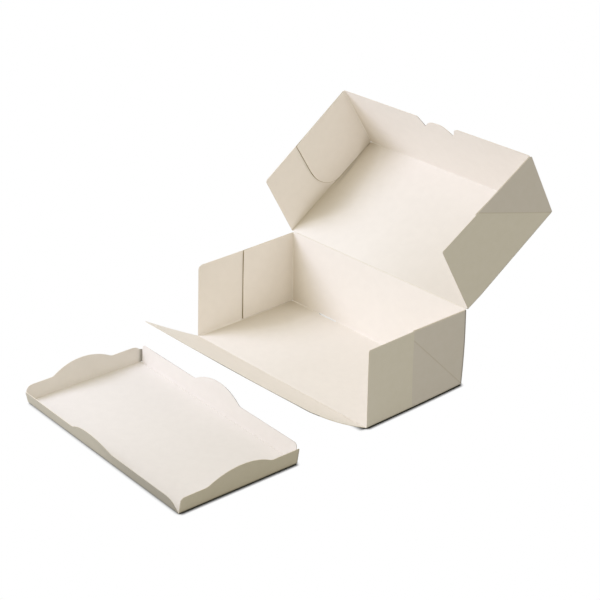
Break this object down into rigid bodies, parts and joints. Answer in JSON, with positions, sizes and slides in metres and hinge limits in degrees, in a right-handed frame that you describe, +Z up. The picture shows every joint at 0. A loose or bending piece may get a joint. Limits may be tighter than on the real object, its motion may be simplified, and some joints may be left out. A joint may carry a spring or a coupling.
{
  "type": "pastry box",
  "caption": "Folding paperboard pastry box with a hinged lid, a lock tab, a fold-out front panel and a loose serving tray with low fold-up walls.",
  "frame": {"origin": "middle of the underside of the base's floor, on the table", "axes": "+X to the right end wall, +Y to the back wall and the lid's crease, +Z up"},
  "size_m": [0.2586, 0.4714, 0.2207],
  "materials": {
    "board": "matt"
  },
  "bodies": {
    "base": {"base_floor": "board", "base_back_wall": "board", "base_left_end": "board", "base_right_end": "board", "base_left_gusset": "board", "base_right_gusset": "board", "base_left_glue_flap": "board", "base_right_glue_flap": "board"},
    "front_panel": {"base_front_panel": "board"},
    "lid": {"lid_panel": "board", "lid_front_wall": "board", "lid_left_end": "board", "lid_right_end": "board", "lid_left_gusset": "board", "lid_right_gusset": "board", "lid_left_glue_flap": "board", "lid_right_glue_flap": "board"},
    "tray": {"tray_floor": "board"},
    "tray_front": {"tray_front_wall": "board"},
    "tray_right": {"tray_right_wall": "board"},
    "tray_back": {"tray_back_wall": "board"},
    "tray_left": {"tray_left_wall": "board"}
  },
  "joints": [
    {"name": "front_panel_hinge", "type": "hinge", "parent": "base", "child": "front_panel", "pos_m": [0, -0.06575, 0.00025], "axis": [-1, 0, 0], "range_deg": [-30, 60]},
    {"name": "lid_hinge", "type": "hinge", "parent": "base", "child": "lid", "pos_m": [0, 0.06575, 0.082], "axis": [-1, 0, 0], "range_deg": [-148.1, 68]},
    {"name": "tray_lift", "type": "slide", "parent": "base", "child": "tray", "axis": [0, 0, 1], "range_m": [0, 0.25]},
    {"name": "tray_front_hinge", "type": "hinge", "parent": "tray", "child": "tray_front", "pos_m": [0.00029, -0.28004, 0.00025], "axis": [0.9991, -0.0419, 0], "range_deg": [-20, 70]},
    {"name": "tray_right_hinge", "type": "hinge", "parent": "tray", "child": "tray_right", "pos_m": [0.12589, -0.22045, 0.00025], "axis": [0.0419, 0.9991, 0], "range_deg": [-12, 78]},
    {"name": "tray_back_hinge", "type": "hinge", "parent": "tray", "child": "tray_back", "pos_m": [0.00571, -0.15056, 0.00025], "axis": [-0.9991, 0.0419, 0], "range_deg": [-12, 78]},
    {"name": "tray_left_hinge", "type": "hinge", "parent": "tray", "child": "tray_left", "pos_m": [-0.11989, -0.21015, 0.00025], "axis": [-0.0419, -0.9991, 0], "range_deg": [-12, 78]}
  ]
}
